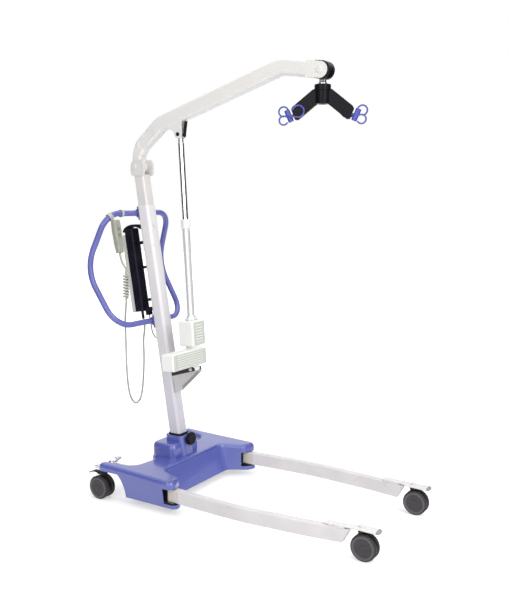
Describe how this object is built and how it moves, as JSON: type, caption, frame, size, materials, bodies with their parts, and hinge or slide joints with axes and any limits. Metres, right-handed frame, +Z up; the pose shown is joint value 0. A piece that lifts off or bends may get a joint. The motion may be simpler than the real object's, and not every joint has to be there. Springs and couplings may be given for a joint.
{
  "type": "patient lift",
  "caption": "Mobile floor lift for moving a person in a sling: spreading legs on twin-wheel castors, a leaning mast, a powered boom with a sling hanger, push handle and hand control.",
  "frame": {"origin": "on the floor below the middle of the whole lift, measured without the handset's cord", "axes": "+X forward along the legs, +Y to the lift's left, +Z up"},
  "size_m": [1.3648, 0.6512, 1.7987],
  "materials": {
    "blue_moulding": "satin moulded cover",
    "handle_blue": "satin powder coat",
    "lilac_grey_paint": "satin powder coat",
    "leg_grey_paint": "satin powder coat",
    "cream_casting": "satin powder coat",
    "cream_cable": "smooth cable sheath",
    "warm_white_paint": "satin powder coat",
    "housing_white": "fine grain",
    "black_plastic": "satin",
    "battery_black": "satin, ribbed sides",
    "wheel_grey": "matt",
    "zinc_steel": "zinc plated",
    "chrome": "polished",
    "hook_blue": "glossy coat on wire",
    "handset_beige": "fine grain",
    "box_grey": "fine grain",
    "stop_red": "glossy"
  },
  "bodies": {
    "base": {"chassis_cover": "blue_moulding", "chassis_frame": "zinc_steel", "mast_socket": "blue_moulding", "socket_ring": "black_plastic", "mast": "lilac_grey_paint", "mast_head": "lilac_grey_paint", "boom_pivot_pin": "zinc_steel", "actuator_bracket": "lilac_grey_paint", "actuator_foot_pin": "zinc_steel", "push_handle": "handle_blue", "upper_handle_bracket": "handle_blue", "lower_handle_bracket": "handle_blue", "control_box": "battery_black", "battery_top_bracket": "battery_black", "battery_lower_connector": "battery_black", "handset": "handset_beige", "handset_hook": "box_grey", "cable_clip": "box_grey", "handset_strain_relief": "handset_beige", "handset_cord_curl": "handset_beige", "handset_cord_plain": "handset_beige", "motor_cable": "cream_cable"},
    "knob": {"mast_knob": "black_plastic"},
    "pedal_bar": {"spread_pedal": "chrome"},
    "battery_pack": {"battery": "box_grey"},
    "stop_key": {"emergency_button": "stop_red"},
    "up_key": {"up_button": "black_plastic"},
    "down_key": {"down_button": "black_plastic"},
    "right_leg": {"right_leg_tube": "leg_grey_paint", "right_leg_root": "cream_casting", "right_leg_end": "warm_white_paint"},
    "left_leg": {"left_leg_tube": "leg_grey_paint", "left_leg_root": "cream_casting", "left_leg_end": "warm_white_paint"},
    "boom_arm": {"boom": "warm_white_paint", "boom_end_cap": "black_plastic", "boom_end_bolt": "zinc_steel", "right_lug_bolt": "black_plastic", "left_lug_bolt": "black_plastic"},
    "hanger": {"hanger_link": "zinc_steel"},
    "spreader_bar": {"spreader": "black_plastic", "rear_sling_hooks": "hook_blue", "front_sling_hooks": "hook_blue"},
    "actuator": {"motor_housing": "housing_white", "gear_housing": "housing_white", "actuator_outer_tube": "housing_white", "rod_collar": "housing_white"},
    "rod": {"actuator_rod": "chrome", "rod_eye": "zinc_steel"},
    "right_front_castor": {"right_front_fork": "black_plastic"},
    "right_front_wheel": {"right_front_wheels": "wheel_grey"},
    "right_rear_castor": {"right_rear_fork": "black_plastic"},
    "right_rear_wheel": {"right_rear_wheels": "wheel_grey"},
    "right_brake": {"right_rear_brake_pedal": "black_plastic"},
    "left_front_castor": {"left_front_fork": "black_plastic"},
    "left_front_wheel": {"left_front_wheels": "wheel_grey"},
    "left_rear_castor": {"left_rear_fork": "black_plastic"},
    "left_rear_wheel": {"left_rear_wheels": "wheel_grey"},
    "left_brake": {"left_rear_brake_pedal": "black_plastic"}
  },
  "joints": [
    {"name": "boom_lift", "type": "hinge", "parent": "base", "child": "boom_arm", "pos_m": [-0.5882, 0, 1.405], "axis": [0, -1, 0], "range_deg": [-60, 5]},
    {"name": "actuator_tilt", "type": "hinge", "parent": "base", "child": "actuator", "pos_m": [-0.3022, 0, 0.54], "axis": [0, -1, 0], "range_deg": [-1, 0.5]},
    {"name": "rod_slide", "type": "slide", "parent": "actuator", "child": "rod", "axis": [-0.0592, 0, 0.9982], "range_m": [-0.262, 0.0225]},
    {"name": "hanger_swing", "type": "hinge", "parent": "boom_arm", "child": "hanger", "pos_m": [0.3088, 0, 1.743], "axis": [0, -1, 0], "range_deg": [-20, 60]},
    {"name": "spreader_swivel", "type": "hinge", "parent": "hanger", "child": "spreader_bar", "pos_m": [0.3088, 0, 1.6915], "axis": [0, 0, 1], "continuous": true},
    {"name": "right_leg_spread", "type": "hinge", "parent": "base", "child": "right_leg", "pos_m": [-0.3052, -0.275, 0.0805], "axis": [0, 0, -1], "range_deg": [0, 12]},
    {"name": "left_leg_spread", "type": "hinge", "parent": "base", "child": "left_leg", "pos_m": [-0.3052, 0.275, 0.0805], "axis": [0, 0, 1], "range_deg": [0, 12]},
    {"name": "spread_pedal_turn", "type": "hinge", "parent": "base", "child": "pedal_bar", "pos_m": [-0.5972, -0.21, 0.122], "axis": [-1, 0, 0], "range_deg": [0, 24]},
    {"name": "right_front_swivel", "type": "hinge", "parent": "right_leg", "child": "right_front_castor", "pos_m": [0.6128, -0.247, 0.105], "axis": [0, 0, 1], "continuous": true},
    {"name": "right_front_roll", "type": "hinge", "parent": "right_front_castor", "child": "right_front_wheel", "pos_m": [0.6248, -0.247, 0.05], "axis": [0, 1, 0], "continuous": true},
    {"name": "right_rear_swivel", "type": "hinge", "parent": "base", "child": "right_rear_castor", "pos_m": [-0.5632, -0.296, 0.105], "axis": [0, 0, 1], "continuous": true},
    {"name": "right_rear_roll", "type": "hinge", "parent": "right_rear_castor", "child": "right_rear_wheel", "pos_m": [-0.5752, -0.296, 0.05], "axis": [0, 1, 0], "continuous": true},
    {"name": "right_brake_press", "type": "hinge", "parent": "right_rear_castor", "child": "right_brake", "pos_m": [-0.5842, -0.296, 0.1065], "axis": [0, -1, 0], "range_deg": [0, 12]},
    {"name": "left_front_swivel", "type": "hinge", "parent": "left_leg", "child": "left_front_castor", "pos_m": [0.6128, 0.247, 0.105], "axis": [0, 0, 1], "continuous": true},
    {"name": "left_front_roll", "type": "hinge", "parent": "left_front_castor", "child": "left_front_wheel", "pos_m": [0.6248, 0.247, 0.05], "axis": [0, 1, 0], "continuous": true},
    {"name": "left_rear_swivel", "type": "hinge", "parent": "base", "child": "left_rear_castor", "pos_m": [-0.5632, 0.296, 0.105], "axis": [0, 0, 1], "continuous": true},
    {"name": "left_rear_roll", "type": "hinge", "parent": "left_rear_castor", "child": "left_rear_wheel", "pos_m": [-0.5752, 0.296, 0.05], "axis": [0, 1, 0], "continuous": true},
    {"name": "left_brake_press", "type": "hinge", "parent": "left_rear_castor", "child": "left_brake", "pos_m": [-0.5842, 0.296, 0.1065], "axis": [0, -1, 0], "range_deg": [0, 12]},
    {"name": "knob_turn", "type": "hinge", "parent": "base", "child": "knob", "pos_m": [-0.3337, 0, 0.223], "axis": [1, 0, 0], "continuous": true},
    {"name": "battery_pull", "type": "slide", "parent": "base", "child": "battery_pack", "axis": [-0.9872, 0, -0.1592], "range_m": [0, 0.06]},
    {"name": "stop_press", "type": "slide", "parent": "base", "child": "stop_key", "axis": [0, -1, 0], "range_m": [0, 0.004], "stiffness_N_per_m": 250},
    {"name": "up_press", "type": "slide", "parent": "base", "child": "up_key", "axis": [-0.9814, 0, -0.192], "range_m": [0, 0.002], "stiffness_N_per_m": 300},
    {"name": "down_press", "type": "slide", "parent": "base", "child": "down_key", "axis": [-0.9814, 0, -0.192], "range_m": [0, 0.002], "stiffness_N_per_m": 300}
  ],
  "couplings": [
    {"joint": "actuator_tilt", "follows": "boom_lift", "ratio": 0.008},
    {"joint": "rod_slide", "follows": "boom_lift", "m_per_rad": 0.249},
    {"joint": "left_leg_spread", "follows": "right_leg_spread", "ratio": 1},
    {"joint": "spread_pedal_turn", "follows": "right_leg_spread", "ratio": 2}
  ]
}
